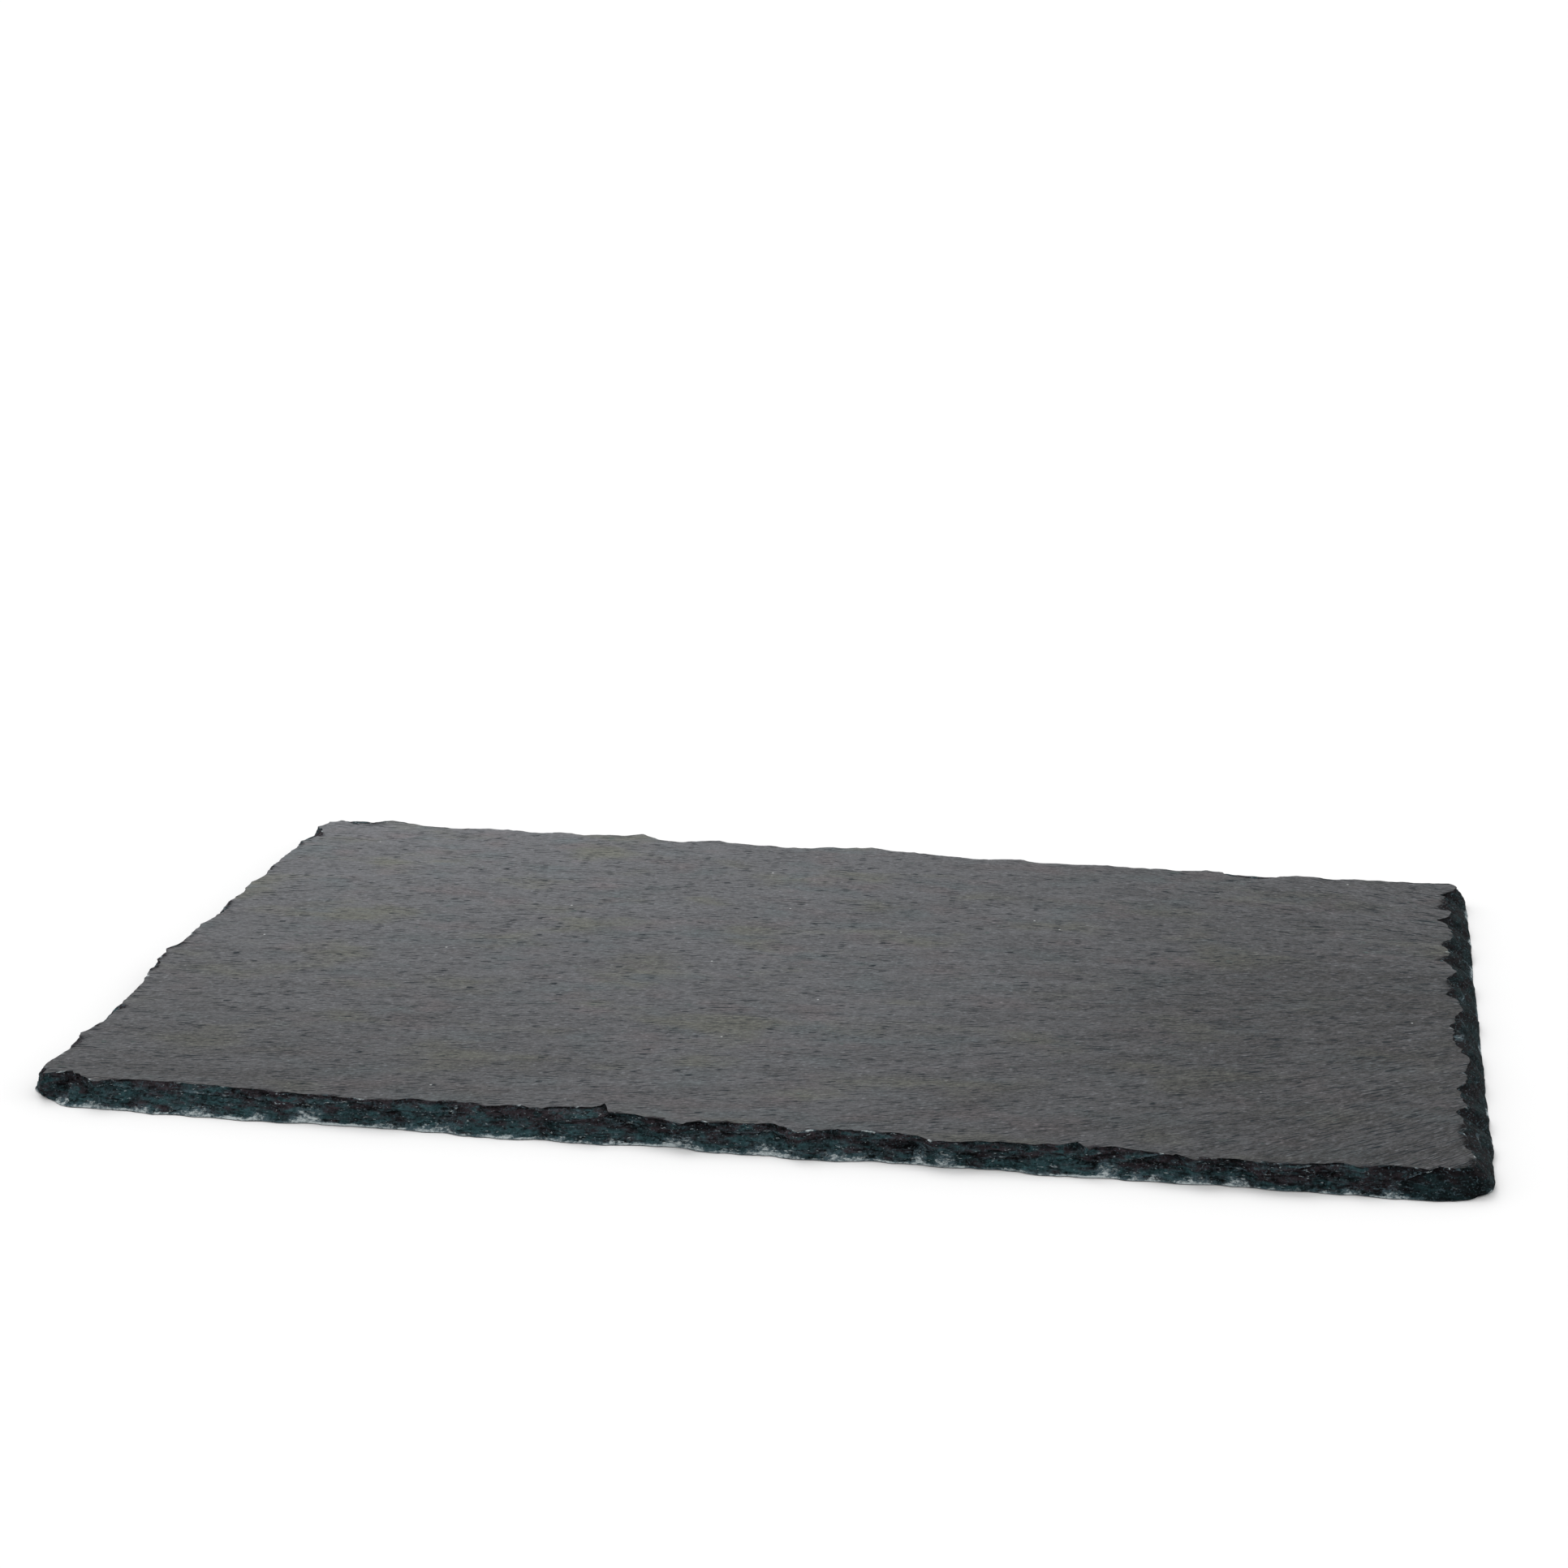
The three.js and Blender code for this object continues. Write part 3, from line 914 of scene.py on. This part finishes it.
# The colour of each kind of cloud, its length and depth in mm, where its noise starts, the
# noise's detail, and the two chances between which it sets in.
CLOUDS = (
    (OLIVE, 26, 16, 4.0, 3.0, 0.5, 0.72),
    (BLUE_GREY, 22, 13, 17.0, 3.0, 0.52, 0.7),
    (BROWN_GREY, 18, 12, 31.0, 2.0, 0.52, 0.75),
)


def over_faces(long, deep, start, detail, roughness=0.5):
    """Noise on the riven faces: features about long mm along the slab and deep mm across it."""
    return slate.noise(slate.vector(x_mm / long, y_mm / deep, start), 1.0, detail, roughness)


riven = WARM_GREY
for cloud, long, deep, start, detail, sets_in, is_full in CLOUDS:
    here = slate.rise(over_faces(long, deep, start, detail), sets_in, is_full)
    riven = slate.blend(here, riven, cloud)

# %% The tone of the riven face
# The dashes lie in flocks. The tone is a sum of all that is uneven, each with its weight. The
# stone is darker to the right, most of all in the middle there, a little darker at the front
# and paler at the back: partly its own tone and partly painted light and shade for the fall
# of the light.
MEAN_TONE = 1.03
LEAST_TONE = 0.08

flock = slate.rise(over_faces(9, 6, 61.0, 2.0, 0.6), 0.36, 0.6)
# The dashes are painted shadow of the small steps in the cleavage, and the lips beside them painted
# highlight.
shadow_dash = slate.rise(dashes, 0.14, 0.18) * (flock * 0.7 + 0.3)
shadow_dash = (shadow_dash + slate.rise(long_dashes, 0.15, 0.18) * flock).math("MINIMUM", 1)
painted_lip = slate.rise(lips, 0.17, 0.24) * (1 - shadow_dash)
powder = slate.noise(stone_mm, 1.5, 2.0, 0.7) - 0.5
patches = over_faces(7, 5, 71.0, 2.0) - 0.5
# Painted shade to the right and at the front, and painted light at the back, each partly the stone's
# own tone.
dark_right = slate.rise(x_mm, -20, 120) * 0.49
pale_back = slate.rise(x_mm, 10, -130) * y_mm * 0.004 + y_mm * 0.0014
dim_place = slate.rise(x_mm, 40, 110) * slate.rise((y_mm + 10).math("ABSOLUTE"), 60, 0) * 0.23
dark_front = slate.rise(y_mm, -20, -90) * 0.05
# The lips add painted highlight to the tone.
tone = MEAN_TONE + streaks * 1.3 + bands * 0.9 + patches * 0.5 + powder * 1.6 + painted_lip * 0.8
tone = tone - dark_right + pale_back - dim_place - dark_front

# %% The riven face with its moss, dashes and specks
MOSS = (0.02, 0.04, 0.037, 1)
SHADOW_DASH_TEAL = (0.005, 0.01, 0.014, 1)
SPECK = (0.43, 0.45, 0.45, 1)
SPECK_SCALE = 0.07

moss_chance = over_faces(4.2, 3.2, 51.0, 3.0, 0.6) + slate.rise(x_mm, 20, 110) * 0.03
specks = slate.add("ShaderNodeTexVoronoi", {}, {"Vector": stone_mm, "Scale": SPECK_SCALE}, "Distance")
riven = slate.blend(slate.rise(moss_chance, 0.65, 0.73) * 0.85, riven, MOSS)
riven = slate.scaled(riven, tone.math("MAXIMUM", LEAST_TONE))
# The dashes get their painted shadow, nearly black with a teal tint.
riven = slate.blend(shadow_dash * 0.9, riven, SHADOW_DASH_TEAL)
riven = slate.blend(slate.rise(specks, 0.025, 0.012) * 0.8, riven, SPECK)

# %% The colour of the broken edge
# The broken stone is darker at the right end of the slab than elsewhere.
BLACK_BROWN = (0.0135, 0.011, 0.013, 1)
DEEP_TEAL = (0.0115, 0.026, 0.029, 1)
MEAN_BROKEN_TONE = 1.35
LEAST_BROKEN_TONE = 0.1


def in_layers(long, thick, detail, roughness):
    """Noise on the edge in layers: features about long mm along them and thick mm high."""
    vector = slate.vector(x_mm / long, y_mm / long, z_mm / thick)
    return slate.noise(vector, 1.0, detail, roughness)


# The edge's painted light and shade, as the mesh carries it.
painted_light_here = slate.attribute("painted_light_shade")
bed = slate.rise(painted_light_here, 0.8, 0.97)
dark_corner = slate.rise(x_mm, 118, 142)
teal_chance = in_layers(6, 1.8, 4.0, 0.65) - z_mm * 0.035 + bed * 0.14
broken = slate.blend(slate.rise(teal_chance, 0.3, 0.52), BLACK_BROWN, DEEP_TEAL)
layers = in_layers(3.4, 0.7, 4.0, 0.75) - 0.5
grit = slate.noise(stone_mm, 1.3, 4.0, 0.7) - 0.5
# The painted light and shade make the tone paler where the edge faces up and darker in hollows and
# under lips, and a flat bed takes part of the painted light back.
broken_tone = MEAN_BROKEN_TONE + layers * 5 + grit * 5.5 + painted_light_here * 0.9 - bed
broken_tone = broken_tone * (1 - dark_corner * 0.68)
broken = slate.scaled(broken, broken_tone.math("MAXIMUM", LEAST_BROKEN_TONE))

# %% The splinters, splits, flecks and crumbs of the broken edge
BRUISED = (0.055, 0.085, 0.1, 1)
SPLIT_AND_SHADOW = (0.003, 0.004, 0.005, 1)
FLECK = (0.17, 0.2, 0.21, 1)
CRUMB = (0.42, 0.47, 0.48, 1)

splinters = in_layers(2.2, 0.36, 2.0, 0.6) - 0.5
glints = slate.rise(slate.noise(stone_mm, 1.9, 2.0, 0.65), 0.6, 0.66)
flecks = slate.rise(in_layers(1.1, 0.35, 2.0, 0.6), 0.65, 0.71)
broken = slate.blend(glints * 0.6 + slate.rise(splinters, 0.13, 0.18) * 0.5, broken, BRUISED)
broken = slate.blend(slate.rise(splinters, -0.09, -0.14) * 0.85, broken, SPLIT_AND_SHADOW)
# Painted shadow: near black where the painted light and shade is lowest, under lips and in hollows.
broken = slate.blend(slate.rise(painted_light_here, -0.9, -1.5) * 0.9, broken, SPLIT_AND_SHADOW)
broken = slate.blend(flecks * (1 - dark_corner * 0.7), broken, FLECK)

crushed_here = slate.attribute("crushed")
bruised = slate.rise(crushed_here + grit * 2 + layers * 1.5, 0.0, 0.8) * 0.9
broken = slate.blend(bruised * slate.rise(crushed_here, 0.0, 0.1), broken, BRUISED)
crumb_chance = in_layers(1.3, 0.6, 5.0, 0.75) + crushed_here * 0.3
crumbs = slate.rise(crumb_chance, 0.6, 0.82) * slate.rise(crushed_here, 0.02, 0.35)

# %% Riven or broken, and the relief too fine for the mesh
DULL_ROUGHNESS = 0.9
DULL_SHEEN = 0.06

is_broken = slate.rise(slate.attribute("broken_skin") + grit * 0.5 + streaks * 0.8, 0.3, 0.7)
colour = slate.blend(is_broken, riven, broken)
colour = slate.blend(crumbs, colour, CRUMB)
riven_height = streaks * 0.08 + powder * 0.05 - shadow_dash * 0.07
broken_height = layers * 0.3 + grit * 0.5 + splinters * 0.25
fine_height = riven_height * (1 - is_broken) + broken_height * is_broken
bump = slate.add("ShaderNodeBump", {}, {"Strength": 1.0, "Distance": MM, "Height": fine_height})
connect(slate.tree, slate.shader.inputs["Base Color"], colour)
connect(slate.tree, slate.shader.inputs["Normal"], bump)
connect(slate.tree, slate.shader.inputs["Roughness"], 0.6 - streaks * 0.2 + shadow_dash * 0.3)
glossy = Wire(slate.tree, slate.shader.outputs["BSDF"])
dull_values = {"Base Color": colour, "Normal": bump, "Roughness": DULL_ROUGHNESS}
dull_values["Specular IOR Level"] = DULL_SHEEN
dull = slate.add("ShaderNodeBsdfPrincipled", {}, dull_values)
stone = slate.add("ShaderNodeMixShader", {}, {0: is_broken, 1: glossy, 2: dull})
connect(slate.tree, slate.tree.nodes["Material Output"].inputs["Surface"], stone)
slab.data.materials.append(slate.material)
print("the slate has", len(slate.tree.nodes), "nodes")

# %% [markdown]
# ## Floor and light
# The stone lies on a plain pale floor under plain soft light. The light comes from above and
# from behind, on the left, so that the riven face shows a little sheen while the front edge,
# which leans towards the viewer, stays in its own shade.

# %% The floor
# It lies a fifth of a millimetre below the slab's foot, so that no two faces fall together.
FLOOR_HALF = 12.0
FLOOR_DROP = 0.0002
PALE_GREY = (0.78, 0.78, 0.78, 1)
SIGNS = ((-1, -1), (1, -1), (1, 1), (-1, 1))

floor_mesh = bpy.data.meshes.new("floor")
floor_corners = [(x * FLOOR_HALF, y * FLOOR_HALF, -FLOOR_DROP) for x, y in SIGNS]
floor_mesh.from_pydata(floor_corners, [], [(0, 1, 2, 3)])
floor = bpy.data.objects.new("floor", floor_mesh)
bpy.context.collection.objects.link(floor)
pale = Finish("pale_floor")
pale.shader.inputs["Base Color"].default_value = PALE_GREY
pale.shader.inputs["Roughness"].default_value = 0.9
floor_mesh.materials.append(pale.material)
print("the floor is", 2 * FLOOR_HALF, "m square")

# %% The light
WORLD_STRENGTH = 1.0
SUN_STRENGTH = 1.23
SUN_WIDTH = math.radians(40)
SUN_FROM_TOP = math.radians(40)
SUN_FROM_BACK = math.radians(30)

world = bpy.data.worlds.new("studio")
bpy.context.scene.world = world
world.use_nodes = True
background = world.node_tree.nodes["Background"]
background.inputs["Color"].default_value = (1, 1, 1, 1)
background.inputs["Strength"].default_value = WORLD_STRENGTH

sun_data = bpy.data.lights.new("soft_sun", "SUN")
sun_data.energy = SUN_STRENGTH
sun_data.angle = SUN_WIDTH
sun = bpy.data.objects.new("soft_sun", sun_data)
sun.rotation_euler = (-SUN_FROM_TOP, 0, SUN_FROM_BACK)
bpy.context.collection.objects.link(sun)
bpy.context.scene.view_settings.view_transform = "Standard"
print("the sun has a strength of", SUN_STRENGTH)
